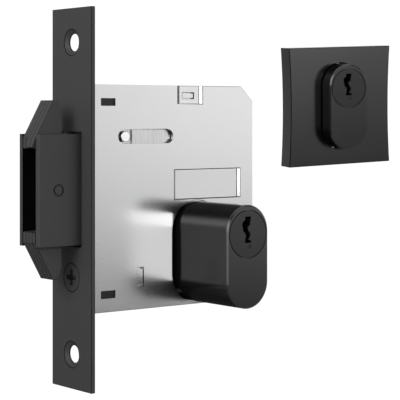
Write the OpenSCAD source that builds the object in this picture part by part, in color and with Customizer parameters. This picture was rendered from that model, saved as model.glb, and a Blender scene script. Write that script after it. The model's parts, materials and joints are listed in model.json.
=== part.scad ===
// Hook-bolt mortice deadlock with a double oval cylinder and a square cylinder rosette.
// Millimetres. +X goes into the door from the back of the faceplate, +Z is up and -Y is the
// side that faces the user. The origin is the middle of the faceplate's back face.
// The lock is drawn thrown: the bolt reaches out of the faceplate and both claws are spread.

/* [Faceplate] */
// Width of the faceplate
plate_w = 22.6; // [20:0.1:30]
// Height of the faceplate
plate_h = 121.2; // [116:0.1:150]
// Thickness of the faceplate
plate_t = 1.5; // [1.2:0.1:3]
// Distance between the two fixing holes
screw_spacing = 99.3; // [90:0.1:106]
// Straight diameter of a fixing hole
screw_hole_d = 5.5; // [4:0.1:6.5]
// Countersink diameter of a fixing hole
screw_sink_d = 8.5; // [7:0.1:10]

/* [Case] */
// Depth of the case behind the faceplate
case_depth = 67.65; // [66:0.05:80]
// Height of the case
case_h = 72.5; // [70:0.1:80]
// Outside thickness of the case
case_w = 16.2; // [15.4:0.1:18]
// Thickness of the case sheet
cover_t = 1; // [0.8:0.1:1.2]
// Length of the chamfer on the rear corners
case_chamfer = 5.1; // [1:0.1:8]
// How far the stamped panels are pressed in
press_depth = 0.9; // [0.4:0.1:1.1]

/* [Bolt] */
// Height of the bolt's centre line above the middle of the faceplate
bolt_z = 3; // [1:0.5:4]
// Height of the bolt head
bolt_h = 35.2; // [34.8:0.1:35.6]
// Thickness of the bolt head
bolt_w = 11.8; // [11.4:0.1:12]
// Thickness of each cheek of the bolt head
cheek_t = 2; // [1.6:0.1:2.2]
// How far the thrown bolt reaches from the faceplate's back face
bolt_reach = 16.7; // [16.4:0.1:17]
// Travel of the bolt from thrown to withdrawn
travel = 17; // [16.8:0.1:17.4]
// Height of the bolt's tail bar
tail_h = 9; // [8:0.5:10]
// Clearance between the bolt head and the edge of its mouth in the faceplate
mouth_gap = 0.6; // [0.5:0.05:0.7]
// Running clearance inside the case
run_gap = 0.3; // [0.2:0.05:0.4]
// How far the middle of the case and bolt lies behind the middle of the faceplate
case_mid_y = 0.8; // [0:0.1:1]

/* [Claws] */
// Claw pivot along X
pivot_x = -4.5; // [-4.8:0.1:-4.4]
// Claw pivot's height above the bolt's centre line
pivot_rise = 15.5; // [15.3:0.1:15.7]
// Angle that a claw folds while the bolt is withdrawn
claw_fold = 90; // [88:1:92]
// Height of the claw tip above its pivot
tip_rise = 12.7; // [12:0.1:13]
// Number of plates in each claw
claw_plates = 4; // [4:1:4]
// Seam between neighbouring plates of a claw
seam = 0.1; // [0.04:0.01:0.12]
// Diameter of the claw pivot pins
pivot_d = 3; // [2.6:0.1:3.1]
// Diameter of the pins that drive the claws
drive_pin_d = 2.6; // [2.2:0.1:2.8]
// Speed that the claw's arm gives its drive pin, as a share of the bolt's speed
arm_share = 0.6468; // [0.62:0.01:0.66]
// Drop of the drive pin below the claw pivot
arm_drop = 2; // [1.8:0.1:2.2]

/* [Cylinder] */
// Width of the oval cylinder
cyl_w = 17; // [16.5:0.1:17.5]
// Height of the oval cylinder
cyl_h = 33.2; // [32:0.1:34]
// Length of the double cylinder
cyl_len = 67.6; // [60:0.1:90]
// Cylinder axis, behind the faceplate
cyl_x = 43.5; // [43:0.1:44]
// Height of the plug axis
plug_z = -11.5; // [-12:0.1:-11.2]
// Diameter of the plug's face
plug_face_d = 15; // [14.4:0.1:15.4]
// Diameter of the plug behind its face
plug_d = 12.8; // [12:0.1:13]
// Radius that the cam's tip sweeps
cam_r = 15; // [14.5:0.1:15.1]
// Cam angle either side of upright
cam_swing = 36; // [34:1:37]
// Gap between the cylinder and the edge of its opening in the case
cyl_gap = 1.8; // [1:0.1:2]
// Number of pin chambers in each half
chambers = 5; // [4:1:5]
// Diameter of a pin chamber
chamber_d = 3; // [2.6:0.1:3.2]

/* [Rosette] */
// Side of the square rosette
rose_side = 46.2; // [42:0.1:50]
// Height of the rosette off the door
rose_t = 6.7; // [5:0.1:9]
// How far the rosette's upright sides curve in at mid height
rose_waist = 0.8; // [0.2:0.1:1.5]
// Sheet thickness of the rosette cover
rose_wall = 1.2; // [0.8:0.1:1.6]
// How far the rosette's cylinder stands proud of its cover
rose_proud = 6.2; // [3:0.1:12]
// How far the rosette's cylinder reaches behind the cover
rose_rear = 13; // [8:0.5:16]

/* [Hidden] */
$fn = 64;
claw_names = [for (side = ["upper", "lower"]) for (i = [1:claw_plates]) str(side, "_hook_plate_", i)];

// Clearances
eps = 0.01;                 // overshoot of a cut past the face that it opens
fit = 0.02;                 // radial clearance of a riveted or driven pin
pivot_fit = 0.05;           // radial clearance of a turning pin
slot_gap = 0.3;             // clearance each side of a pin in a slot or groove

// Places that follow from the sizes above
inner_y = case_w / 2 - cover_t;          // inside face of either cover
groove_depth = 0.6 * cover_t;            // track of a drive pin in the far sheet
head_gap_y = bolt_w / 2 - cheek_t;       // half the slot between the cheeks
case_top = case_h / 2;
bolt_top = bolt_h / 2;
tail_top = tail_h / 2;
guide_z = 19.6;                          // height of the guide slot and its stud
guide_x = 14.5;                          // stud behind the faceplate, bolt thrown
guide_d = 3.5;
guide_slot_h = 4.6;
guide_front_gap = 1.25;                  // open slot in front of the thrown stud
guide_rear_gap = 0.35;                   // open slot behind the withdrawn stud
lance_w = 0.35;                          // cut beside the pressed-in tab
screw_z = plug_z - 13.7;                 // height of the cylinder screw
screw_d = 5;
screw_head_d = 9;
lug_z = case_top - 5.55;                 // height of the two bracket lugs, above and below
lug_x = 7.65;
lug_tenon = [5.3, 2.35];
lug_h = 4.6;
lug_rear = 4.4;                          // lug behind the middle of its tenon
lug_drop = 0.6;                          // how far a lug's tenon lies under the sheet's face
spacer_x = 40.4;                         // upper spacer's tenon and its hole
spacer_z = case_top - 3.3;
spacer_hole = [4.8, 2];
spacer_tenon = [4.4, 1.3];
spacer_foot = [8, 3.6];
prop_x = 20.3;                           // lower spacer's tenon and its hole
prop_z = screw_z - 0.55;
prop_hole = [2.4, 6];
prop_tenon = [2, 4.8];
prop_foot = [4, 8];
tenon_drop = 0.2;                        // how far a tenon's end lies under the sheet's face
top_press = [35.8, 45.9, case_top - 6.05];   // tab pressed in at the top edge: from x, to x, from z
side_press = [34, 62.2, -1.3, 8.5];      // pressed-in panel: from x, to x, from z, to z
plug_drop = 9.35;                        // plug's axis below the top of the oval
cyl_mid_z = plug_z + plug_drop - cyl_h / 2;
cyl_floor = cyl_mid_z - cyl_h / 2;
cyl_end_gap = 0.4;                       // gap above and below the cylinder in the covers
cyl_chamfer = 0.5;                       // slanted edge of a cylinder's end faces
ring_gap = 0.3;                          // open ring round a plug's face
ring_depth = 0.6;
dimple = [1.9, 1.1, 0.25];               // sunk mark under the keyway
dimple_z = -4;
cam_half = 4.8;                          // half the cam's width
cam_gap_half = 5.1;                      // half the space cut in the cylinder for the cam
cam_hub_r = 8.2;
cam_tip_r = 2;
clutch_r = 5;
chamber_pitch = 4.5;
chamber_first = 10.5;                    // first chamber from the middle of the cylinder
driver_top = plug_z - plug_d / 2 - 0.35;
driver_len = 5;
cap_len = 2.5;
post_x = 26;                             // retainer spring post
post_z = 17;
post_r = 2.5;
spring_t = 0.6;
spring_rise = 4;                         // leaf from its post to where it starts to fall
spring_fall = 9;                         // falling length of the leaf
spring_run = 5;                          // level length that rides on the bar
spring_tip = 2;                          // turned-up end
spring_half = 2.4;                       // half the leaf's width
post_collar = 1.2;                       // collar of the post over its shank
cheek_rivet_x = -9.6;
cheek_rivet_d = 3.7;
cheek_ring_d = 2.8;                      // inside of the ring groove round the rivet's centre
cheek_ring_depth = 0.4;
cheek_edge = 0.35;                       // radius of the bolt head's upright front edges
tail_rivet_x = 3.6;
cheek_rear = tail_rivet_x + 3;           // rear end of the cheeks, over the tail bar
tail_rivet_d = 2.5;
tail_rivet_z = [-2.4, 2.4];
plate_rivet_x = 11.5;
plate_gap = 0.4;                         // gap between the tail plate and the near cover
plate_step = 0.7;                        // step down of the tail plate round the stud
head_rear = 0.2;                         // rear edge of the cheeks behind the faceplate
tail_front = 0.5;
tail_rear = 41;
hub_r = 2.3;
boss_r = 2.2;
arm_x = arm_share * travel / (claw_fold * PI / 180);
claw_side_gap = 0.25;                    // gap between a claw and either cheek
claw_half = head_gap_y - claw_side_gap;  // half the thickness of a claw
plate_pitch = 2 * claw_half / claw_plates;
claw_rivet_d = 1.8;
claw_rivet_places = [[pivot_x - 8.8, pivot_rise + 1], [pivot_x - 5, pivot_rise + 7.6]];
claw_skin = 0.5;                         // metal left over a claw rivet's ends
rose_place = [143.2, 33.9, 30.6];        // middle of the rosette's back face
rose_turn = [3.9, -2.5, -11.3];
rose_gap = 0.3;
rose_chambers = 3;
rose_chamber_y = 7;                      // first chamber behind the rosette cylinder's face
rose_post_x = 15.5;
rose_post_d = 7;
rose_screw_d = 3.3;
rose_plug_z = cyl_h / 2 - plug_drop;
rose_front = -rose_t - rose_proud;       // face of the rosette's cylinder

// A flat XZ shape thickened from y0 to y1
module along_y(y0, y1) {
    translate([0, y1, 0]) rotate([90, 0, 0]) linear_extrude(y1 - y0) children();
}

// A round bar along Y
module rod_y(x, z, d, y0, y1) {
    along_y(y0, y1) translate([x, z]) circle(d = d);
}

// A round bar along X
module rod_x(y, z, d, x0, x1) {
    translate([x0, y, z]) rotate([0, 90, 0]) cylinder(d = d, h = x1 - x0);
}

// A block from its two corners
module block(a, b) {
    translate(a) cube(b - a);
}

// An upright shape with two round ends
module oval(w, h) {
    for (side = [-1, 1]) translate([0, side * (h - w) / 2]) circle(d = w, $fn = 96);
    square([w, h - w], center = true);
}

// A shape with two round ends lying along X
module slot_2d(x0, x1, z, h) {
    for (x = [x0 + h / 2, x1 - h / 2]) translate([x, z]) circle(d = h);
    translate([x0 + h / 2, z - h / 2]) square([x1 - x0 - h, h]);
}

// Children moved from about y = 0 to the middle of the case and bolt
module in_case() {
    translate([0, case_mid_y, 0]) children();
}

// A round bar along Y that changes its diameter from d0 at y0 to d1 at y1
module taper_y(x, z, d0, d1, y0, y1) {
    translate([x, y0, z]) rotate([-90, 0, 0]) cylinder(d1 = d0, d2 = d1, h = y1 - y0);
}

// An oval bar along Y with chamfered ends, about its own middle
module oval_bar(y0, y1) {
    w = cyl_w / 2;
    c = cyl_chamfer;
    rise = (cyl_h - cyl_w) / 2;
    for (z = [-rise, rise]) {
        taper_y(0, z, cyl_w - 2 * c, cyl_w, y0, y0 + c);
        rod_y(0, z, cyl_w, y0 + c, y1 - c);
        taper_y(0, z, cyl_w, cyl_w - 2 * c, y1 - c, y1);
    }
    translate([0, 0, -rise]) linear_extrude(2 * rise)
        polygon([[c - w, y0], [w - c, y0], [w, y0 + c], [w, y1 - c],
                 [w - c, y1], [c - w, y1], [-w, y1 - c], [-w, y0 + c]]);
}

// Children copied above and below the bolt's centre line: side is 1 above and -1 below
module at_side(side) {
    translate([0, 0, bolt_z]) scale([1, 1, side]) children();
}

// ---- Faceplate and case ----

module faceplate() {
    color("dimgray") difference() {
        block([-plate_t, -plate_w / 2, -plate_h / 2], [0, plate_w / 2, plate_h / 2]);
        mouth_y = bolt_w / 2 + mouth_gap;
        mouth_z = bolt_top + mouth_gap;
        block([-plate_t - eps, case_mid_y - mouth_y, bolt_z - mouth_z],
              [eps, case_mid_y + mouth_y, bolt_z + mouth_z]);
        for (side = [-1, 1]) translate([0, 0, side * screw_spacing / 2]) screw_hole();
        cylinder_screw_seat(screw_head_d + 2 * fit);
    }
}

// A countersunk hole with a straight wall at the back of the plate
module screw_hole() {
    sink = min((screw_sink_d - screw_hole_d) / 2, plate_t - 0.4);
    rod_x(0, 0, screw_hole_d, -plate_t - eps, eps);
    translate([-plate_t, 0, 0]) rotate([0, 90, 0])
        cylinder(d1 = screw_sink_d, d2 = screw_hole_d, h = sink);
}

module cylinder_screw_seat(d) {
    translate([-plate_t, 0, screw_z]) rotate([0, 90, 0])
        cylinder(d1 = d, d2 = d - 2 * plate_t, h = plate_t);
}

// Side outline of the case, with both rear corners cut off
module case_outline() {
    c = case_chamfer;
    polygon([[0, -case_top], [case_depth - c, -case_top], [case_depth, c - case_top],
             [case_depth, case_top - c], [case_depth - c, case_top], [0, case_top]]);
}

// Openings that both covers share
module shared_openings() {
    cyl_opening();
    for (side = [-1, 1]) translate([lug_x, side * lug_z]) square(lug_tenon, center = true);
    translate([prop_x, prop_z]) square(prop_hole, center = true);
    translate([spacer_x, spacer_z]) square(spacer_hole, center = true);
}

module cyl_opening() {
    translate([cyl_x, cyl_mid_z]) oval(cyl_w + 2 * cyl_gap, cyl_h + 2 * cyl_end_gap);
}

// Plan of a pressed-in panel: a sunk floor between two sloping flanks
module press_plan(x0, x1, grow) {
    y = -case_w / 2;
    d = press_depth;
    polygon([[x0 - grow, y - 1], [x0 - grow, y], [x0 + d - grow, y + d + grow],
             [x1 - d + grow, y + d + grow], [x1 + grow, y], [x1 + grow, y - 1]]);
}

module press_pocket(x0, x1, z0, z1) {
    translate([0, 0, z0]) linear_extrude(z1 - z0) press_plan(x0, x1, 0);
}

module press_back(x0, x1, z0, z1) {
    intersection() {
        translate([0, 0, z0 - cover_t]) linear_extrude(z1 - z0 + 2 * cover_t)
            press_plan(x0, x1, cover_t);
        block([x0 - 2 * cover_t, -case_w / 2, -case_top], [x1 + 2 * cover_t, 0, case_top]);
    }
}

module near_cover() {
    color("lightgray") difference() {
        union() {
            along_y(-case_w / 2, -inner_y) case_outline();
            press_back(side_press[0], side_press[1], side_press[2], side_press[3]);
            press_back(top_press[0], top_press[1], top_press[2], case_top);
        }
        press_pocket(side_press[0], side_press[1], side_press[2], side_press[3]);
        press_pocket(top_press[0], top_press[1], top_press[2], case_top + 1);
        along_y(-case_w / 2 - 1, -inner_y + 2) {
            shared_openings();
            slot_2d(guide_x - guide_d / 2 - guide_front_gap,
                    guide_x + travel + guide_d / 2 + guide_rear_gap, guide_z, guide_slot_h);
        }
        block([top_press[0] - lance_w, -case_w / 2 - 1, top_press[2]],
              [top_press[0], 1 - inner_y, case_top + 1]);
    }
}

// Path of a drive pin's centre while the bolt is drawn back by s
function pin_at(s) = let (turn = claw_fold * s / travel)
    [pivot_x + s + arm_x * cos(turn) + arm_drop * sin(turn),
     pivot_rise + arm_x * sin(turn) - arm_drop * cos(turn)];
function pin_heading(s) = let (d = pin_at(s + 0.01) - pin_at(s - 0.01)) d / norm(d);
function pin_side(s, w) = let (h = pin_heading(s)) pin_at(s) + w * [-h[1], h[0]];

// Curved groove that turns the bolt's straight travel into the fold of a claw
module drive_slot_2d() {
    w = drive_pin_d / 2 + slot_gap;
    steps = 20;
    stops = [for (i = [0:steps]) i * travel / steps];
    polygon(concat([for (s = stops) pin_side(s, w)],
                   [for (i = [steps:-1:0]) pin_side(stops[i], -w)]));
    for (s = [0, travel]) translate(pin_at(s)) circle(r = w);
}

module far_tray() {
    wall = 2 * press_depth;
    color("silver") difference() {
        union() {
            along_y(inner_y, case_w / 2) difference() {
                case_outline();
                shared_openings();
            }
            for (side = [-1, 1]) block([0, -inner_y, side > 0 ? case_top - cover_t : -case_top],
                [case_depth - case_chamfer, inner_y, side > 0 ? case_top : cover_t - case_top]);
        }
        block([top_press[0] - wall, -inner_y - 1, case_top - cover_t - 1],
              [top_press[1] + wall, press_depth + slot_gap - inner_y, case_top + 1]);
        along_y(-inner_y - 1, inner_y) cyl_opening();
        along_y(inner_y - 1, inner_y + groove_depth) for (side = [-1, 1])
            translate([0, bolt_z]) scale([1, side]) drive_slot_2d();
    }
}

// Bracket behind the faceplate whose tenons lock into both covers
module lug(side) {
    color([0.16, 0.16, 0.16]) union() {
        translate([0, 0, side * lug_z])
            block([0, -inner_y, -lug_h / 2], [lug_x + lug_rear, inner_y, lug_h / 2]);
        along_y(lug_drop - case_w / 2, case_w / 2 - lug_drop) translate([lug_x, side * lug_z])
            square(lug_tenon - 2 * [pivot_fit, pivot_fit], center = true);
    }
}

module upper_spacer() {
    near_y = -inner_y + press_depth;
    color("silver") union() {
        along_y(near_y, inner_y) translate([spacer_x, spacer_z])
            square(spacer_foot, center = true);
        along_y(near_y - cover_t + tenon_drop, case_w / 2 - tenon_drop)
            translate([spacer_x, spacer_z]) square(spacer_tenon, center = true);
    }
}

module lower_spacer() {
    color("silver") difference() {
        union() {
            along_y(-inner_y, inner_y) translate([prop_x, prop_z])
                square(prop_foot, center = true);
            along_y(tenon_drop - case_w / 2, case_w / 2 - tenon_drop)
                translate([prop_x, prop_z]) square(prop_tenon, center = true);
        }
        rod_x(-case_mid_y, screw_z, screw_d + 2 * slot_gap, prop_x - prop_foot[0],
              prop_x + prop_foot[0]);
    }
}

module spring_post() {
    collar_y = -spring_half - tenon_drop;
    color("silver") {
        rod_y(post_x, post_z, 2 * post_r, collar_y, inner_y);
        rod_y(post_x, post_z, 2 * (post_r + post_collar), collar_y - cover_t, collar_y);
    }
}

// Leaf that presses on the tail bar and holds the bolt at either end of its travel
module retainer_spring() {
    r = post_r + fit;
    foot_z = bolt_z + tail_top + run_gap;
    top = post_z + r;
    fall_x = post_x + spring_rise + spring_fall;
    end_x = fall_x + spring_run;
    tip_x = end_x + spring_tip;
    leg = [[post_x, top + spring_t / 2], [post_x, top + spring_t], [post_x + spring_rise, top],
           [fall_x, foot_z + spring_t], [end_x, foot_z + spring_t],
           [tip_x, foot_z + spring_tip], [tip_x + spring_t, foot_z + spring_tip - spring_t],
           [end_x + spring_t / 2, foot_z], [fall_x - spring_t / 2, foot_z],
           [post_x + spring_rise - spring_t / 2, top - spring_t]];
    color("gainsboro") difference() {
        union() {
            rod_y(post_x, post_z, 2 * (r + spring_t), -spring_half, spring_half);
            along_y(-spring_half, spring_half) polygon(leg);
        }
        rod_y(post_x, post_z, 2 * r, -spring_half - 1, spring_half + 1);
    }
}

module circle_at(x, z, r) {
    translate([x, z]) circle(r = r);
}

// ---- Bolt ----

// Side outline of a cheek, about the bolt's centre line: the rear corners are cut back
// so that the drive pins can swing past
module cheek_outline() {
    rear = head_rear;
    waist = cheek_rear - rear + tail_top - 1;
    polygon([[-bolt_reach, -bolt_top], [rear, -bolt_top], [rear, -waist],
             [cheek_rear, -tail_top], [cheek_rear, tail_top], [rear, waist],
             [rear, bolt_top], [-bolt_reach, bolt_top]]);
}

// A cheek with one blind seat for each claw pivot; side is -1 for the near cheek
module cheek(side) {
    outer = bolt_w / 2;
    seat = head_gap_y + cheek_t * 0.6;
    corner = cheek_edge;
    end_x = cheek_rear + 1;
    color("dimgray") translate([0, 0, bolt_z]) difference() {
        intersection() {
            along_y(min(side * head_gap_y, side * outer), max(side * head_gap_y, side * outer))
                cheek_outline();
            union() {
                block([-bolt_reach + corner, -outer, -bolt_top], [end_x, outer, bolt_top]);
                block([-bolt_reach, corner - outer, -bolt_top], [end_x, outer - corner, bolt_top]);
                for (y = [corner - outer, outer - corner])
                    translate([corner - bolt_reach, y, -bolt_top]) cylinder(r = corner, h = bolt_h);
            }
        }
        for (rise = [-1, 1]) rod_y(pivot_x, rise * pivot_rise, pivot_d + 2 * fit,
                                   min(side * seat, 0), max(side * seat, 0));
        rod_y(cheek_rivet_x, 0, cheek_rivet_d + 2 * fit, -outer - 1, outer + 1);
        for (z = tail_rivet_z) rod_y(tail_rivet_x, z, tail_rivet_d + 2 * fit, -outer - 1, outer + 1);
    }
}

// Rivet through both cheeks; a ring is turned into each end
module cheek_rivet() {
    end = bolt_w / 2;
    color("gray") difference() {
        rod_y(cheek_rivet_x, bolt_z, cheek_rivet_d, -end, end);
        for (y = [-end, end]) difference() {
            rod_y(cheek_rivet_x, bolt_z, cheek_rivet_d + 1, y - cheek_ring_depth,
                  y + cheek_ring_depth);
            rod_y(cheek_rivet_x, bolt_z, cheek_ring_d, y - 1, y + 1);
        }
    }
}

// Bar between the cheeks, with the notch that the cylinder's cam works in
module bolt_tail() {
    notch_mid = cyl_x - travel / 2;
    notch_half = 4.35;
    color("silver") difference() {
        translate([0, 0, bolt_z])
            block([tail_front, -head_gap_y, -tail_top], [tail_rear, head_gap_y, tail_top]);
        block([notch_mid - notch_half, -head_gap_y - 1, bolt_z - tail_top - 1],
              [notch_mid + notch_half, head_gap_y + 1, plug_z + cam_r + 0.4]);
        translate([0, 0, bolt_z]) {
            for (x = [tail_rivet_x, plate_rivet_x]) for (z = tail_rivet_z)
                rod_y(x, z, tail_rivet_d + 2 * fit, -bolt_w, bolt_w);
        }
    }
}

module tail_rivets() {
    color("gray") for (z = tail_rivet_z)
        rod_y(tail_rivet_x, bolt_z + z, tail_rivet_d, -bolt_w / 2, bolt_w / 2);
}

module tail_plate_rivets() {
    color("gray") for (z = tail_rivet_z)
        rod_y(plate_rivet_x, bolt_z + z, tail_rivet_d, plate_gap - inner_y, head_gap_y);
}

// Plate riveted to the near side of the bar; it carries the guide stud behind the slot
module tail_plate() {
    outer = inner_y - plate_gap;
    foot = bolt_z - tail_top;
    front_x = plate_rivet_x - tail_rivet_z[1] * 1.9;
    stem_x = plate_rivet_x + tail_rivet_z[1] * 1.9;
    neck_x = front_x + 3;
    neck_z = side_press[3] + cover_t + run_gap;
    flag_z = guide_z + guide_slot_h;
    low_z = guide_z - guide_slot_h;
    step_x = guide_x + guide_d;
    rear_x = guide_x + travel + guide_slot_h;
    color("lightgray") difference() {
        union() {
            along_y(-outer, -head_gap_y) polygon([[front_x, foot], [stem_x, foot],
                [stem_x, neck_z], [rear_x, low_z], [rear_x, flag_z], [step_x, flag_z],
                [step_x, low_z], [neck_x, low_z], [front_x, neck_z]]);
            along_y(plate_step - outer, -head_gap_y) polygon([[neck_x, low_z - 1],
                [step_x + 1, low_z - 1], [step_x + 1, flag_z], [neck_x + 1, flag_z],
                [neck_x, flag_z - 1]]);
        }
        for (z = tail_rivet_z)
            rod_y(plate_rivet_x, bolt_z + z, tail_rivet_d + 2 * fit, -case_w, 0);
        rod_y(guide_x, guide_z, guide_d + 2 * fit, -case_w, 0);
    }
}

module guide_stud() {
    color("white") rod_y(guide_x, guide_z, guide_d, 0.1 - case_w / 2, -head_gap_y);
}

// ---- Claws ----

module hook_pivot(side) {
    seat = head_gap_y + cheek_t * 0.6;
    color("gray") rod_y(pivot_x, bolt_z + side * pivot_rise, pivot_d, -seat, seat);
}

// Claw plate from y0 to y1, about the bolt's centre line, spread and pointing up
module claw_plate(nosed, y0, y1) {
    front = -bolt_reach;
    back = pivot_x - 2.4;
    tip_z = pivot_rise + tip_rise;
    under = pivot_rise - 2.4;
    pin = pin_at(0);
    reach = claw_half - claw_skin;
    difference() {
        union() {
            along_y(y0, y1) polygon([[front, under], [front, under + 3.4],
                [pivot_x - 5.7, tip_z], [pivot_x - 4.1, tip_z - 0.2], [pivot_x - 3, tip_z - 2],
                [back, tip_z - 3.6], [back, pivot_rise + 2.4], [pivot_x, pivot_rise],
                [pivot_x, under - 0.5]]);
            if (nosed) along_y(y0, y1) polygon([[front - 1.1, under + 0.4],
                [front, under + 3.4], [front + 3, under + 2], [front, under]]);
            rod_y(pivot_x, pivot_rise, 2 * hub_r, y0, y1);
            rod_y(pin[0], pin[1], 2 * boss_r, y0, y1);
            along_y(y0, y1) polygon([[pivot_x, pivot_rise + hub_r * 0.8],
                [pin[0], pin[1] + boss_r * 0.9], [pin[0], pin[1] - boss_r * 0.9],
                [pivot_x, pivot_rise - hub_r * 0.9]]);
        }
        rod_y(pivot_x, pivot_rise, pivot_d + 2 * pivot_fit, y0 - 1, y1 + 1);
        rod_y(pin[0], pin[1], drive_pin_d + 2 * fit, y0 - 1, y1 + 1);
        for (p = claw_rivet_places) rod_y(p[0], p[1], claw_rivet_d + 2 * fit, -reach, reach);
    }
}

// One plate of a claw, counted from the near side
module hook_plate(side, i) {
    near = -claw_half + (i - 1) * plate_pitch;
    color([0.27, 0.27, 0.27]) at_side(side)
        claw_plate(side > 0 && i <= 2, near + seam / 2, near + plate_pitch - seam / 2);
}

module hook_rivets(side) {
    reach = claw_half - claw_skin;
    color("gray") at_side(side) for (p = claw_rivet_places)
        rod_y(p[0], p[1], claw_rivet_d, -reach, reach);
}

module drive_pin(side) {
    pin = pin_at(0);
    color("silver") rod_y(pin[0], bolt_z + side * pin[1], drive_pin_d,
                          seam - claw_half, inner_y + groove_depth - 2 * pivot_fit);
}

// ---- Cylinder ----

// Distance of chamber i from the middle of the cylinder
function chamber_y(i) = chamber_first + i * chamber_pitch;

// Zigzag keyway about the plug's axis
module keyway() {
    polygon([[-1.26, 5.64], [-1.14, 4.63], [-1.86, 4.26], [-2.46, 3.35], [-2.1, 1.7],
             [-1.86, 0.78], [-1.14, 0.42], [-0.9, -0.68], [-1.26, -1.78], [-1.26, -2.79],
             [1.25, -2.79], [1.25, -1.96], [0.05, -1.78], [0.77, -0.87], [1.01, 0.05],
             [0.17, 1.15], [-0.19, 2.07], [0.77, 2.98], [1.01, 4.26], [1.25, 5.64]]);
}

// Chambers cut down from the plug's axis; side is -1 for the near half
module chamber_row(side, d, z0, z1, count) {
    for (i = [0:count - 1]) translate([0, side * chamber_y(i), z0]) cylinder(d = d, h = z1 - z0);
}

module cylinder_body() {
    half = cyl_len / 2;
    color([0.13, 0.13, 0.12]) translate([cyl_x, 0, 0]) difference() {
        translate([0, 0, cyl_mid_z]) oval_bar(-half, half);
        rod_y(0, plug_z, plug_d + 2 * pivot_fit, -half - 1, half + 1);
        for (side = [-1, 1]) {
            face = side * (half - 1.5);
            ring = side * (half - ring_depth);
            rod_y(0, plug_z, plug_face_d + 2 * pivot_fit, min(face, 2 * face), max(face, 2 * face));
            rod_y(0, plug_z, plug_face_d + 2 * ring_gap, min(ring, 2 * ring), max(ring, 2 * ring));
            clip = side * (cam_gap_half + 1);
            rod_y(0, plug_z, plug_face_d, min(0, clip), max(0, clip));
            chamber_row(side, chamber_d, cyl_floor - 1, plug_z, chambers);
        }
        block([-cyl_w, -cam_gap_half, plug_z - cam_hub_r - 0.6], [cyl_w, cam_gap_half, cyl_w]);
        rod_x(0, screw_z, screw_d + 2 * fit, -cyl_w, 2.5);
    }
}

// Shallow sunk mark in a plug's face, under the keyway
module face_dimple(y) {
    block([-dimple[0] / 2, y - 1, dimple_z - dimple[1] / 2],
          [dimple[0] / 2, y + dimple[2], dimple_z + dimple[1] / 2]);
}

// A plug with its face flush with the end of the cylinder; drawn for the near half
module plug_solid(half, inner, count) {
    difference() {
        union() {
            rod_y(0, 0, plug_d, -half, -inner);
            rod_y(0, 0, plug_face_d, -half, 1.45 - half);
        }
        along_y(-half - 1, -inner - 1.5) keyway();
        face_dimple(-half);
        for (i = [0:count - 1])
            translate([0, -chamber_y(i), -plug_d]) cylinder(d = chamber_d, h = plug_d - 1);
        difference() {
            rod_y(0, 0, plug_d + 1, -inner - 0.9, -inner);
            rod_y(0, 0, plug_d - 2, -inner - 1, -inner + 1);
        }
    }
}

// Turns a near-half shape about the upright axis for the far half
module for_half(side) {
    translate([cyl_x, 0, plug_z]) rotate([0, 0, side < 0 ? 0 : 180]) children();
}

module plug(side) {
    color([0.15, 0.15, 0.14]) for_half(side)
        plug_solid(cyl_len / 2, cam_gap_half + 0.1, chambers);
}

// Open ring in the groove at the inner end of a plug
module plug_clip(side) {
    y = -cam_gap_half - 0.1;
    color("gray") for_half(side) along_y(y - 0.8, y - 0.1) difference() {
        circle(r = plug_face_d / 2 - 0.4);
        circle(r = plug_d / 2 - 1 + fit);
        translate([-2.5, -plug_d]) square([5, plug_d]);
    }
}

// Key pins stand in the plug, below the keyway
module key_pins(side) {
    color("gold") for_half(side) for (i = [0:chambers - 1]) key_pin(-chamber_y(i));
}

module key_pin(y) {
    translate([0, y, 0.25 - plug_d / 2]) cylinder(d = chamber_d - 0.1, h = plug_d / 2 - 1.6);
}

// Children at every chamber of both halves
module each_chamber() {
    for (side = [-1, 1]) for (i = [0:chambers - 1])
        translate([cyl_x, side * chamber_y(i), 0]) children();
}

module driver_pins() {
    color("gold") each_chamber()
        translate([0, 0, driver_top - driver_len]) cylinder(d = chamber_d - 0.1, h = driver_len);
}

module pin_springs() {
    top = driver_top - driver_len;
    bottom = cyl_floor + tenon_drop + cap_len;
    outer = chamber_d * 0.9;
    color("gray") each_chamber() translate([0, 0, bottom]) difference() {
        cylinder(d = outer, h = top - bottom);
        translate([0, 0, -1]) cylinder(d = outer * 0.63, h = top - bottom + 2);
    }
}

module chamber_plugs() {
    color("gold") each_chamber()
        translate([0, 0, cyl_floor + tenon_drop]) cylinder(d = chamber_d, h = cap_len);
}

// Cam drawn pointing at the bolt's notch with the bolt thrown
module cam() {
    color("gray") translate([cyl_x, 0, plug_z]) rotate([0, -cam_swing, 0])
        along_y(-cam_half, cam_half) difference() {
            union() {
                circle(r = cam_hub_r);
                circle_at(0, cam_r - cam_tip_r, cam_tip_r);
                translate([-cam_tip_r, 0]) square([2 * cam_tip_r, cam_r - cam_tip_r]);
            }
            circle(r = clutch_r + fit);
        }
}

module cam_clutch() {
    color("gold") difference() {
        rod_y(cyl_x, plug_z, 2 * clutch_r, -cam_half, cam_half);
        block([cyl_x - 1, -cam_half - 1, plug_z - 9], [cyl_x + 1, 2 - cam_half, plug_z + 9]);
    }
}

module cylinder_screw() {
    tip_x = cyl_x + 2;
    color([0.2, 0.2, 0.2]) difference() {
        union() {
            cylinder_screw_seat(screw_head_d);
            rod_x(0, screw_z, screw_d, -0.2, tip_x);
        }
        for (turn = [0, 90]) translate([-plate_t, 0, screw_z]) rotate([turn, 0, 0])
            block([-1, -0.55, -2.4], [1.2, 0.55, 2.4]);
    }
}

// ---- Rosette set ----

// Moves a piece from the rosette's own frame, whose back face is y = 0
module rose_frame() {
    translate(rose_place) rotate([0, 0, rose_turn[2]]) rotate([rose_turn[0], 0, 0])
        rotate([0, rose_turn[1], 0]) children();
}

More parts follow.
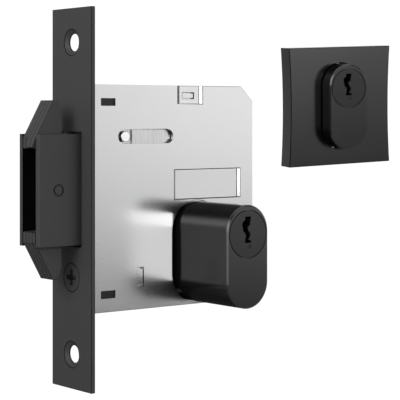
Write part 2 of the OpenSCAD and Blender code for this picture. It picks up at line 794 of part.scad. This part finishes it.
// Square with two sides curved in
module rose_outline(inset) {
    h = rose_side / 2 - inset;
    r = (h * h + rose_waist * rose_waist) / (2 * rose_waist);
    difference() {
        square(2 * h, center = true);
        for (side = [-1, 1]) translate([side * (h - rose_waist + r), 0]) circle(r = r, $fn = 720);
    }
}

module rosette_cover() {
    color([0.2, 0.2, 0.2]) rose_frame() difference() {
        along_y(-rose_t, 0) rose_outline(0);
        along_y(rose_wall - rose_t, 1) rose_outline(rose_wall);
        along_y(-rose_t - 1, 1) oval(cyl_w + 2 * rose_gap, cyl_h + 2 * rose_gap);
    }
}

module rosette_backplate() {
    color("silver") rose_frame() difference() {
        union() {
            along_y(-rose_wall, 0) rose_outline(rose_wall + 0.1);
            for (side = [-1, 1])
                rod_y(side * rose_post_x, 0, rose_post_d, rose_wall + 0.1 - rose_t, 0);
        }
        along_y(-rose_t - 1, 1) oval(cyl_w + 2 * rose_gap, cyl_h + 2 * rose_gap);
        for (side = [-1, 1])
            rod_y(side * rose_post_x, 0, rose_screw_d, rose_wall + 1 - rose_t, 1);
    }
}

module rosette_cylinder_body() {
    color([0.13, 0.13, 0.12]) rose_frame() difference() {
        oval_bar(rose_front, rose_rear);
        rod_y(0, rose_plug_z, plug_d + 2 * pivot_fit, rose_front - 1, rose_rear + 1);
        rod_y(0, rose_plug_z, plug_face_d + 2 * pivot_fit, rose_front - 1, rose_front + 1.5);
        rod_y(0, rose_plug_z, plug_face_d + 2 * ring_gap, rose_front - 1,
              rose_front + ring_depth);
        each_rose_chamber() translate([0, 0, 2 - cyl_h / 2])
            cylinder(d = chamber_d, h = cyl_h / 2);
    }
}

module each_rose_chamber() {
    for (i = [0:rose_chambers - 1])
        translate([0, rose_front + rose_chamber_y + i * chamber_pitch, 0]) children();
}

module rosette_plug() {
    color([0.15, 0.15, 0.14]) rose_frame() translate([0, 0, rose_plug_z]) difference() {
        union() {
            rod_y(0, 0, plug_d, rose_front, rose_rear);
            rod_y(0, 0, plug_face_d, rose_front, rose_front + 1.45);
        }
        along_y(rose_front - 1, rose_rear - 2) keyway();
        face_dimple(rose_front);
        each_rose_chamber() translate([0, 0, -plug_d]) cylinder(d = chamber_d, h = plug_d - 1);
    }
}

module rosette_key_pins() {
    color("gold") rose_frame() translate([0, 0, rose_plug_z]) each_rose_chamber() key_pin(0);
}

// ---- One line for each node ----

faceplate();
in_case() near_cover();
in_case() far_tray();
in_case() lug(1);  // upper_lug
in_case() lug(-1);  // lower_lug
in_case() upper_spacer();
in_case() lower_spacer();
in_case() spring_post();
in_case() retainer_spring();
in_case() cheek(-1);  // near_cheek
in_case() cheek(1);  // far_cheek
in_case() cheek_rivet();
in_case() bolt_tail();
in_case() tail_rivets();
in_case() tail_plate();
in_case() tail_plate_rivets();
in_case() guide_stud();
in_case() hook_pivot(1);  // upper_hook_pivot
in_case() hook_pivot(-1);  // lower_hook_pivot
for (i = [1:claw_plates]) {
    in_case() hook_plate(1, i);
    in_case() hook_plate(-1, i);
}
in_case() hook_rivets(1);  // upper_hook_rivets
in_case() hook_rivets(-1);  // lower_hook_rivets
in_case() drive_pin(1);  // upper_drive_pin
in_case() drive_pin(-1);  // lower_drive_pin
cylinder_body();
plug(-1);  // front_plug
plug(1);  // back_plug
plug_clip(-1);  // front_plug_clip
plug_clip(1);  // back_plug_clip
key_pins(-1);  // front_key_pins
key_pins(1);  // back_key_pins
driver_pins();
pin_springs();
chamber_plugs();
cam();
cam_clutch();
cylinder_screw();
rosette_cover();
rosette_backplate();
rosette_cylinder_body();
rosette_plug();
rosette_key_pins();
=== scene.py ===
# %% [markdown]
# # A hook-bolt deadlock and its rosette
# The lock is a sheet-metal case behind a black faceplate. A bolt made of two cheeks reaches out
# of the faceplate, and two claws built from plates spread out of it. A black oval cylinder goes
# through the case. A square black rosette with its own cylinder stands beside the lock.
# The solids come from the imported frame, where they already have their sizes and places. This
# script gives them their finish, rounds the edges that a hand or a light would find, and builds
# a small studio round them.

# %% Load the frame
import json
from functools import partial
from math import radians

import bmesh
import bpy
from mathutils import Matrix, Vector

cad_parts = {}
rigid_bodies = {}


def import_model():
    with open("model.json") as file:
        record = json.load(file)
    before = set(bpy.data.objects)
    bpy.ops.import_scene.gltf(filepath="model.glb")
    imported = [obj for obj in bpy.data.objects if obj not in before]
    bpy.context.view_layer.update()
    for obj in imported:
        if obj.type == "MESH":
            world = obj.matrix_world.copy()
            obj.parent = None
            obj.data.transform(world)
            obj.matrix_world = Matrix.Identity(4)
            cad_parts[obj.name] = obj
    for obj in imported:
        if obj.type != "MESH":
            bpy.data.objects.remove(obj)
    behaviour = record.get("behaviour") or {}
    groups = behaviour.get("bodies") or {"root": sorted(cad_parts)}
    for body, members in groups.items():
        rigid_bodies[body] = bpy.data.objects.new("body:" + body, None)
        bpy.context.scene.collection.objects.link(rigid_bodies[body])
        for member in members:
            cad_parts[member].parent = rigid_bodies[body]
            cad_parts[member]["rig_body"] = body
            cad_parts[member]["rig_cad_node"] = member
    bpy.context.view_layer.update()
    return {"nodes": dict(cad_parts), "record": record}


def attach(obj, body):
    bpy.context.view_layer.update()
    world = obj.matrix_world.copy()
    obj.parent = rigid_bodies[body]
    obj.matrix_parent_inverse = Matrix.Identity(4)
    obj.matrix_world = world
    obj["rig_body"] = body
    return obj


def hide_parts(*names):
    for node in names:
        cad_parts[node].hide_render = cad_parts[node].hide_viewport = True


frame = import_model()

MM = 0.001
nodes = frame["nodes"]

# %% [markdown]
# ## The camera
# The lock is seen from the left of the door's edge, through a long lens held level, so that
# upright edges stay upright. Tilting the camera down would frame the lock as well, but its upright
# edges would then lean together. The lens is shifted down instead.

# %% Place the camera
LENS_PLACE = (-0.26015, -0.39645, 0.02651)
LENS_TURN = -38.08
camera_data = bpy.data.cameras.new("studio_camera")
camera_data.lens = 133.35
camera_data.sensor_width = 36
camera_data.shift_y = -0.2123
camera = bpy.data.objects.new("studio_camera", camera_data)
camera.location = LENS_PLACE
camera.rotation_euler = (radians(90), 0, radians(LENS_TURN))
bpy.context.scene.collection.objects.link(camera)
bpy.context.scene.camera = camera
print("camera at", tuple(camera.location))

# %% [markdown]
# ## A shared effect: grain
# A powder coat, a plated sheet and a turned pin all have a fine grain. It makes the tone and the
# gloss wander a little from place to place, and it roughens the surface. Each material could
# have noise of its own, but one node group keeps them alike: it makes the three signals, and each
# material asks it for its own amounts. First come three small helpers that wire nodes together.

# %% Helpers that wire nodes
def feed(tree, socket, value):
    """Links a signal to a socket, or types a plain value into it."""
    if isinstance(value, bpy.types.NodeSocket):
        tree.links.new(value, socket)
    else:
        socket.default_value = value


def maths(tree, operation, *values):
    """A Math node fed with signals or numbers; its result is a signal."""
    node = tree.nodes.new("ShaderNodeMath")
    node.operation = operation
    for socket, value in zip(node.inputs, values):
        feed(tree, socket, value)
    return node.outputs["Value"]


def noise(tree, place, scale, detail):
    """A Noise texture read at a place; its result is a signal."""
    texture = tree.nodes.new("ShaderNodeTexNoise")
    feed(tree, texture.inputs["Vector"], place)
    feed(tree, texture.inputs["Scale"], scale)
    feed(tree, texture.inputs["Detail"], detail)
    return texture.outputs["Fac"]


# %% Build the grain group
CLOUD_DETAIL, GRAIN_DETAIL = 3, 2
NOISE_MIDDLE = 0.5
GRAIN_ASKS = {"Color": "Color", "Tone Change": "Float", "Roughness": "Float",
              "Gloss Change": "Float", "Cloud Scale": "Float", "Grain Scale": "Float",
              "Stretch": "Vector"}
GRAIN_GIVES = {"Color": "Color", "Roughness": "Float", "Height": "Float"}


def make_grain_group():
    """Noise in two sizes that drives tone, gloss and height."""
    group = bpy.data.node_groups.new("surface_grain", "ShaderNodeTree")
    for side, sockets in (("INPUT", GRAIN_ASKS), ("OUTPUT", GRAIN_GIVES)):
        for name, kind in sockets.items():
            group.interface.new_socket(name=name, in_out=side, socket_type="NodeSocket" + kind)
    asked = group.nodes.new("NodeGroupInput").outputs
    given = group.nodes.new("NodeGroupOutput").inputs
    place = group.nodes.new("ShaderNodeVectorMath")
    place.operation = "MULTIPLY"
    feed(group, place.inputs[0], group.nodes.new("ShaderNodeTexCoord").outputs["Object"])
    feed(group, place.inputs[1], asked["Stretch"])
    cloud = noise(group, place.outputs[0], asked["Cloud Scale"], CLOUD_DETAIL)
    grain = noise(group, place.outputs[0], asked["Grain Scale"], GRAIN_DETAIL)
    swing = maths(group, "SUBTRACT", cloud, NOISE_MIDDLE)
    tint = group.nodes.new("ShaderNodeVectorMath")
    tint.operation = "SCALE"
    feed(group, tint.inputs[0], asked["Color"])
    feed(group, tint.inputs["Scale"],
         maths(group, "MULTIPLY_ADD", swing, asked["Tone Change"], 1))
    feed(group, given["Color"], tint.outputs[0])
    feed(group, given["Roughness"],
         maths(group, "MULTIPLY_ADD", swing, asked["Gloss Change"], asked["Roughness"]))
    feed(group, given["Height"], grain)
    return group


grain_group = make_grain_group()
print("group", grain_group.name, [s.name for s in grain_group.interface.items_tree])

# %% [markdown]
# ## The finishes
# The faceplate, the bolt and the claws have a satin black coat, the cylinders and the rosette a
# glossier black, and the case is zinc plate. Inside are plain steel, spring steel and brass. Every
# finish is one Principled shader fed by the grain group. Coats are not metallic and have a faint
# sheen of their own, and bare or plated steel is fully metallic. An image of each surface would
# do too, but noise on the object's own coordinates needs no unwrapping and is as fine as it is
# asked to be. Numbers that stay the same all over a surface are typed straight into the shader.

# %% Helper that mixes a finish
GRAIN_SCALE = 3000.0
GLOSS_CHANGE = 0.06
BUMP_STRENGTH = 0.6


def finish(name, color, rough, metallic=0.0, specular=0.5, tone=0.1, cloud=60.0,
           depth=0.00002, stretch=(1.0, 1.0, 1.0)):
    """A material with grain: cloud is the scale of its patches, depth its relief in metres."""
    material = bpy.data.materials.new(name)
    material.use_nodes = True
    tree = material.node_tree
    shader = tree.nodes["Principled BSDF"].inputs
    shader["Metallic"].default_value = metallic
    shader["Specular IOR Level"].default_value = specular
    surface = tree.nodes.new("ShaderNodeGroup")
    surface.node_tree = grain_group
    amounts = {"Color": (*color, 1), "Tone Change": tone, "Roughness": rough,
               "Gloss Change": GLOSS_CHANGE, "Cloud Scale": cloud, "Grain Scale": GRAIN_SCALE,
               "Stretch": stretch}
    for socket, value in amounts.items():
        surface.inputs[socket].default_value = value
    bump = tree.nodes.new("ShaderNodeBump")
    bump.inputs["Strength"].default_value = BUMP_STRENGTH
    bump.inputs["Distance"].default_value = depth
    feed(tree, bump.inputs["Height"], surface.outputs["Height"])
    feed(tree, shader["Base Color"], surface.outputs["Color"])
    feed(tree, shader["Roughness"], surface.outputs["Roughness"])
    feed(tree, shader["Normal"], bump.outputs["Normal"])
    return material


metal = partial(finish, metallic=1.0)


def grey(value):
    """A colour without a hue."""
    return (value, value, value)


# %% Mix the finishes of the record's slots
finishes = {
    "black_plate": finish("satin_black_plate", grey(0.033), rough=0.5, specular=0.25),
    "black_bolt": finish("satin_black_bolt", grey(0.033), rough=0.5, specular=0.25),
    "black_steel": finish("black_oxide", grey(0.006), rough=0.4),
    "black_cylinder": finish("black_cylinder_plating", (0.0035, 0.0035, 0.0033), rough=0.18,
                             specular=0.85, depth=0.000003),
    "black_rosette": finish("satin_black_rosette", grey(0.004), rough=0.2, specular=1.0,
                            depth=0.000006),
    "zinc_steel": metal("zinc_plate", (0.745, 0.745, 0.75), rough=0.22, tone=0.04, cloud=25.0,
                        stretch=(1.0, 1.0, 0.35)),
    "plain_steel": metal("plain_steel", grey(0.42), rough=0.35),
    "spring_steel": metal("spring_steel", (0.5, 0.49, 0.47), rough=0.3),
    "brass": metal("turned_brass", (0.72, 0.55, 0.24), rough=0.3),
}
print("finishes", sorted(finishes))

# %% [markdown]
# Some solids look different from the rest of their slot. The guide stud is polished, the tail
# plate behind the slot is brushed up and down, so its grain is stretched along that way, and the
# screw has the faceplate's coat. The plugs are plated a shade lighter than the cylinder's body.
# The dark outline lines along the edges could be painted into each finish. Two more finishes, matt
# and dark, are kept for the rounded edges instead, because an edge is then a material of its own:
# they are painted shade that draws dark lines along the edges.

# %% Mix the finishes of single pieces, and the painted shade of edges
black_plug = finish("black_plug_plating", (0.005, 0.005, 0.0047), rough=0.2, specular=0.6,
                    depth=0.000003)
polished_steel = metal("polished_steel", grey(0.9), rough=0.12, tone=0.02)
brushed_steel = metal("brushed_steel", grey(0.74), rough=0.28, tone=0.5, cloud=2500.0,
                      depth=0.00003, stretch=(1.0, 1.0, 0.03))
# Painted shade: near-black finishes for the rounded edges, which draw dark outline lines in any
# light.
painted_shade_black_edge = finish("painted_shade_black_edge", grey(0.002), rough=0.5, specular=0.12)
painted_shade_steel_edge = metal("painted_shade_steel_edge", grey(0.01), rough=0.4)
print("materials", len(bpy.data.materials))

# %% [markdown]
# The record names a slot for each solid, and the slot's finish goes into the solid's own material
# slot. Naming the solids one by one would also work, but then a new solid could be forgotten. The
# few that look different follow by name.

# %% Paint every solid
slot_of = {part["node"]: part["material_slot"] for part in frame["record"]["subparts"]}
for name, solid in nodes.items():
    for place in solid.material_slots:
        place.material = finishes[slot_of[name]]
own_finish = {"guide_stud": polished_steel, "tail_plate": brushed_steel,
              "cylinder_screw": finishes["black_plate"], "front_plug": black_plug,
              "back_plug": black_plug, "rosette_plug": black_plug}
for name, material in own_finish.items():
    nodes[name].material_slots[0].material = material
print("painted", len(slot_of), "solids,", len(own_finish), "with a finish of their own")

# %% [markdown]
# ## Rounded edges
# Sheet, plates and turned parts never have razor edges, and it is the rounded edge that catches
# the light. The rounds could be in the solids, but they are too small to matter for touch or
# collision and would make the solids heavy. So a copy of the solid is welded, its flat faces are
# joined, every sharp edge gets a small round bevel, and the copy stands for the solid.
# On the case's cover, a bevel stopped by the shortest edges would round nothing, so only its
# edges longer than a given length are marked and rounded there.

# %% Helpers that round a copy of a solid
SHARP = radians(28)
FLAT = radians(0.4)
SMOOTH = radians(40)
WELD = 0.002 * MM


def deselect():
    """Clears the selection, because an operator acts on all that is selected."""
    bpy.ops.object.select_all(action="DESELECT")


def copy_of(name):
    """A welded copy of a solid with its flat faces joined."""
    deselect()
    solid = nodes[name]
    bpy.context.view_layer.objects.active = solid
    solid.select_set(True)
    bpy.ops.object.duplicate()
    piece = bpy.context.object
    piece.name = name + "_finished"
    piece.parent = None
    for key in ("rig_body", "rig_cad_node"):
        del piece[key]
    bpy.ops.object.mode_set(mode="EDIT")
    bpy.ops.mesh.select_all(action="SELECT")
    bpy.ops.mesh.remove_doubles(threshold=WELD)
    bpy.ops.mesh.dissolve_limited(angle_limit=FLAT)
    bpy.ops.object.mode_set(mode="OBJECT")
    return piece


def mark_long_edges(mesh, least):
    """Marks for bevelling the sharp edges that are longer than least millimetres."""
    work = bmesh.new()
    work.from_mesh(mesh)
    weight = work.edges.layers.float.new("bevel_weight_edge")
    for edge in work.edges:
        if edge.calc_length() > least * MM and edge.calc_face_angle(0) > SHARP:
            edge[weight] = 1
    work.to_mesh(mesh)
    work.free()


def rounded(name, body, width, edge=None, least=0):
    """Stands a copy with edges rounded by width millimetres in a solid's place; an edge finish,
    when given, paints shade on the rounds.
    """
    piece = copy_of(name)
    bevel = piece.modifiers.new("edge", "BEVEL")
    bevel.width = width * MM
    bevel.segments = 2
    bevel.limit_method = "ANGLE"
    bevel.angle_limit = SHARP
    bevel.use_clamp_overlap = True
    if least:
        mark_long_edges(piece.data, least)
        bevel.limit_method = "WEIGHT"
        bevel.use_clamp_overlap = False
    # An edge finish paints dark shade lines on the rounds.
    if edge:
        piece.data.materials.append(edge)
        bevel.material = len(piece.data.materials) - 1
    bpy.ops.object.modifier_apply(modifier="edge")
    bpy.ops.object.shade_smooth_by_angle(angle=SMOOTH)
    piece.modifiers.new("flat_faces", "WEIGHTED_NORMAL").keep_sharp = True
    bpy.ops.object.modifier_apply(modifier="flat_faces")
    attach(piece, body)
    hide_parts(name)
    return piece


# %% [markdown]
# The rounds follow the making of each piece: widest on the thick rosette, narrower on punched
# sheet, and finest on the turned cylinder. The black pieces get the matt dark edge, painted shade
# that draws their outlines, and the cover gets the dark steel edge, painted shade that draws dark
# lines round its pressed panels, although the real sheet has the same metal at its edges.

# %% Round the edges that show
COVER_EDGE_LEAST = 0.8
body_of = {n: b for b, members in frame["record"]["behaviour"]["bodies"].items() for n in members}
edge_rounds = {"faceplate": 0.15, "near_cover": 0.14, "far_tray": 0.08, "near_cheek": 0.1,
               "far_cheek": 0.1, "cylinder_body": 0.05, "front_plug": 0.1, "back_plug": 0.1,
               "rosette_cover": 0.25, "rosette_cylinder_body": 0.05, "rosette_plug": 0.1,
               "guide_stud": 0.2, "cheek_rivet": 0.06, "cylinder_screw": 0.15}
hook_plates = [f"{side}_hook_plate_{count}"
               for side in ("upper", "lower") for count in range(1, 5)]
edge_rounds |= dict.fromkeys(hook_plates, 0.12)
# The rounds of these pieces take a painted shade: dark lines along their edges.
edges = dict.fromkeys(["faceplate", "near_cheek", "far_cheek", "cheek_rivet", "rosette_cover",
                       "cylinder_screw", *hook_plates], painted_shade_black_edge)
edges["near_cover"] = painted_shade_steel_edge
for name, width in edge_rounds.items():
    piece = rounded(name, body_of[name], width, edge=edges.get(name),
                    least=COVER_EDGE_LEAST if name == "near_cover" else 0)
    print(piece.name, len(piece.data.polygons), "faces")

# %% [markdown]
# ## Painted shade inside the bolt
# Between the cheeks the bolt is open, and its inner walls are painted matt and dark, a painted
# shade for the shadowed inside. A separate inner wall would be one more piece to fit. The cheeks
# already carry the painted-shade edge finish as their last material, so the faces that look
# inwards take it.

# %% Paint shade on the inside of the bolt
FACES_INWARD = 0.9
for name, inward in (("far_cheek", -1), ("near_cheek", 1)):
    cheek = bpy.data.objects[name + "_finished"]
    # The inward faces take the near-black edge finish as painted shade.
    matt = [face for face in cheek.data.polygons if face.normal.y * inward > FACES_INWARD]
    for face in matt:
        face.material_index = len(cheek.data.materials) - 1
    print(cheek.name, len(matt), "matt faces")

# %% [markdown]
# ## Studio
# The lock stands in front of plain white. Its blacks and its polished sheet show little colour
# of their own, only what they mirror, so most of the studio is made for their reflections.
# The standard colour response is chosen, because the softer default turns white paper grey.

# %% Choose a plain colour response
bpy.context.scene.view_settings.view_transform = "Standard"
print("colour response", bpy.context.scene.view_settings.view_transform)

# %% [markdown]
# White paper under a lock lifts every dark side of it. In a real studio black cloth would hang
# out of sight. Here the paper itself can do that: it is plain white to the lens, pale to the
# light that comes straight off it, and black to light that has bounced more than once.

# %% Helpers for the paper
PLAIN_WHITE = 1.05
ONE_BOUNCE = 1.5


def studio_paper(name, tone, rough):
    """Paper that the lens sees as plain white and the metal sees in its own tone."""
    material = bpy.data.materials.new(name)
    material.use_nodes = True
    tree = material.node_tree
    own = tree.nodes["Principled BSDF"]
    own.inputs["Base Color"].default_value = (*grey(tone), 1)
    own.inputs["Roughness"].default_value = rough
    path = tree.nodes.new("ShaderNodeLightPath")
    dark = tree.nodes.new("ShaderNodeEmission")
    dark.inputs["Strength"].default_value = 0
    once = tree.nodes.new("ShaderNodeMixShader")
    feed(tree, once.inputs["Fac"],
         maths(tree, "GREATER_THAN", path.outputs["Ray Depth"], ONE_BOUNCE))
    feed(tree, once.inputs[1], own.outputs["BSDF"])
    feed(tree, once.inputs[2], dark.outputs["Emission"])
    plain = tree.nodes.new("ShaderNodeEmission")
    plain.inputs["Strength"].default_value = PLAIN_WHITE
    mix = tree.nodes.new("ShaderNodeMixShader")
    feed(tree, mix.inputs["Fac"], path.outputs["Is Camera Ray"])
    feed(tree, mix.inputs[1], once.outputs["Shader"])
    feed(tree, mix.inputs[2], plain.outputs["Emission"])
    feed(tree, tree.nodes["Material Output"].inputs["Surface"], mix.outputs["Shader"])
    return material


def lay_sheet(name, middle, sides, turn, material):
    """A flat sheet of paper, with its place in its mesh."""
    deselect()
    bpy.ops.mesh.primitive_plane_add(size=1, location=middle, rotation=(0, 0, radians(turn)))
    sheet = bpy.context.object
    sheet.name = name
    sheet.scale = (*sides, 1)
    bpy.ops.object.transform_apply(location=True, rotation=True, scale=True)
    sheet.data.materials.append(material)
    print(name, [round(side, 3) for side in sheet.dimensions])
    return sheet


# %% Lay the floor
floor = lay_sheet("studio_floor", middle=(0.03, 0, -0.16), sides=(0.8, 0.8), turn=0,
                  material=studio_paper("pale_paper", tone=0.24, rough=0.9))

# %% [markdown]
# The rounded underside of the cylinder mirrors the floor behind the lock, and would shine. A
# black card lies there, a millimetre above the floor and along the line of sight. Darkening the
# whole floor would also do it, but then the other sides of the lock would lose their light.

# %% Lay a dark card behind the lock
card = lay_sheet("dark_card", middle=(0.285, 0.526, -0.159), sides=(1.02, 0.36), turn=51.9,
                 material=studio_paper("dark_card", tone=0.01, rough=1))

# %% [markdown]
# ## The surroundings
# The walls of the studio glow where the metal looks at them. Screens on stands would need a place
# and a size each, and this sky needs only a brightness for each direction. Directions are
# measured from the lens: bearings run from 0 at the lens, positive to the left, and heights in
# degrees above the horizon. A wall is a profile along the bearing times one along the height.

# %% Begin the sky
world = bpy.data.worlds.new("studio_world")
bpy.context.scene.world = world
world.use_nodes = True
sky = world.node_tree
look = sky.nodes.new("ShaderNodeTexCoord").outputs["Generated"]
print("world", world.name)


# %% Helpers that measure and paint by direction
def along(direction):
    """How far the looked-at direction points along another."""
    dot = sky.nodes.new("ShaderNodeVectorMath")
    dot.operation = "DOT_PRODUCT"
    feed(sky, dot.inputs[0], look)
    feed(sky, dot.inputs[1], direction)
    return dot.outputs["Value"]


def profile(signal, reach, stops):
    """Brightness along a signal from -reach to reach, straight between stops."""
    place = sky.nodes.new("ShaderNodeMapRange")
    feed(sky, place.inputs["From Min"], -reach)
    feed(sky, place.inputs["From Max"], reach)
    feed(sky, place.inputs["Value"], signal)
    curve = sky.nodes.new("ShaderNodeValToRGB")
    feed(sky, curve.inputs["Fac"], place.outputs["Result"])
    places = [(where + reach) / (2 * reach) for where, _ in stops]
    points = curve.color_ramp.elements
    points[0].position, points[1].position = places[0], places[-1]
    for position in places[1:-1]:
        points.new(position)
    for point, (_, value) in zip(points, stops):
        point.color = (*grey(value), 1)
    return curve.outputs["Color"]


# %% [markdown]
# The flat faces mirror bearings of about 104 and -76, so a wall glows at each. The wall on the
# left is dark close to the lens, so that gaps and inside corners stay dark, and bright just beside
# it, where surfaces turned a little to the left look. The wall on the right has steps in its
# height, which give the sheet its soft shades. A strip above and a strip below the lens light
# what faces almost straight at it. The back wall and the dome light the sides that the lens
# doesn't see.

# %% List the walls
WALLS = {
    "left": (((0, 0.0), (6, 0.02), (9, 1.0), (30, 1.0), (60, 0.13), (125, 0.1), (150, 0.04)),
             ((-24, 0.06), (-9, 0.15), (0, 1.0), (28, 1.0), (40, 0.3), (90, 0.1))),
    "right": (((-125, 0.03), (-110, 0.4), (-79, 0.48), (-72, 0.36), (-65, 0.26), (-61, 0.32),
               (-57, 0.7), (-50, 0.7), (-42, 0.03)),
              ((-20, 0.7), (-15, 0.06), (-9, 0.04), (-6.5, 0.25), (-4.5, 0.66), (-2, 0.9),
               (9, 0.9), (18, 0.02))),
    "above the lens": (((-14, 0.0), (-8, 0.5), (10, 0.5), (14, 0.0)),
                       ((10, 0.0), (14, 1.0), (28, 1.0), (34, 0.0))),
    "below the lens": (((-14, 0.0), (-8, 0.22), (8, 0.22), (14, 0.0)),
                       ((-12, 0.0), (-9, 1.0), (-5, 1.0), (-3, 0.0))),
    "back": (((-180, 0.4), (-150, 0.4), (-125, 0.0), (128, 0.0), (150, 0.4), (180, 0.4)),
             ((-30, 0.4), (-3, 0.7), (10, 1.0), (90, 1.0))),
    "dome": (((-180, 0.3), (180, 0.3)),
             ((46, 0.0), (60, 1.0))),
}
print("walls", list(WALLS))

# %% Add up the walls
TO_LENS = (-0.617, -0.787, 0)
LEFT_OF_LENS = (-0.787, 0.617, 0)
UP = (0, 0, 1)
DEGREES_PER_RADIAN = 57.3
GLOW = 3.0
bearing = maths(sky, "MULTIPLY", maths(sky, "ARCTAN2", along(LEFT_OF_LENS), along(TO_LENS)),
                DEGREES_PER_RADIAN)
height = maths(sky, "MULTIPLY", maths(sky, "ARCSINE", along(UP)), DEGREES_PER_RADIAN)
glow = 0
for bearings, heights in WALLS.values():
    wall = maths(sky, "MULTIPLY", profile(bearing, 180, bearings), profile(height, 90, heights))
    glow = maths(sky, "ADD", glow, wall)
glow = maths(sky, "MULTIPLY", glow, GLOW)
print("walls added", len(WALLS))

# %% [markdown]
# The lens itself must not see the walls, only plain white. The Light Path node tells rays from the
# lens apart from those that left a surface, so one sky can serve both.

# %% Glow for the metal, plain white for the lens
around = sky.nodes["Background"]
around.inputs["Color"].default_value = (*grey(1), 1)
feed(sky, around.inputs["Strength"], glow)
seen = sky.nodes.new("ShaderNodeBackground")
seen.inputs["Color"].default_value = (*grey(1), 1)
seen.inputs["Strength"].default_value = PLAIN_WHITE
light_path = sky.nodes.new("ShaderNodeLightPath")
mix = sky.nodes.new("ShaderNodeMixShader")
feed(sky, mix.inputs["Fac"], light_path.outputs["Is Camera Ray"])
feed(sky, mix.inputs[1], around.outputs["Background"])
feed(sky, mix.inputs[2], seen.outputs["Background"])
feed(sky, sky.nodes["World Output"].inputs["Surface"], mix.outputs["Shader"])
print("sky nodes", len(sky.nodes))

# %% [markdown]
# ## The lights
# Two broad lights shine on matt surfaces alone, one towards the faceplate and one towards the
# case, and no mirror image shows them. Two small ones lie a hair off the flank of the cylinder
# and do the opposite: they light nothing, and show only in mirror images. They stand for the lit
# flank, which the case mirrors as a bright streak. Brightening the flank itself would give the
# same streak, but would spoil its black.

# %% Hang the lights
def area_light(name, place, toward, width, height, power, mirrored):
    """A rectangular light that shows only in mirror images, or only on matt surfaces."""
    data = bpy.data.lights.new(name, "AREA")
    data.shape = "RECTANGLE"
    data.size = width
    data.size_y = height
    data.energy = power
    lamp = bpy.data.objects.new(name, data)
    lamp.location = place
    aim = Vector(toward) - Vector(place)
    lamp.rotation_euler = aim.to_track_quat("-Z", "Y").to_euler()
    lamp.visible_camera = False
    lamp.visible_glossy = mirrored
    lamp.visible_diffuse = not mirrored
    bpy.context.scene.collection.objects.link(lamp)
    print(name, "at", place, "with", power, "W")


area_light("faceplate_soft", place=(-0.3, -0.05, 0.16), toward=(0, 0, 0), width=0.2,
           height=0.2, power=1.0, mirrored=False)
area_light("case_soft", place=(0.35, -1.0, 0.25), toward=(0.05, 0, 0), width=0.6,
           height=0.6, power=8, mirrored=False)
FLANK_X, FLANK_Y, FLANK_LENGTH = 0.0346, -0.021, 0.024
for name, level, tall, power in (("flank_fill", -0.0193, 0.0178, 0.00104),
                                 ("flank_streak", -0.0084, 0.005, 0.00047)):
    area_light(name, place=(FLANK_X, FLANK_Y, level), toward=(0, FLANK_Y, level),
               width=FLANK_LENGTH, height=tall, power=power, mirrored=True)
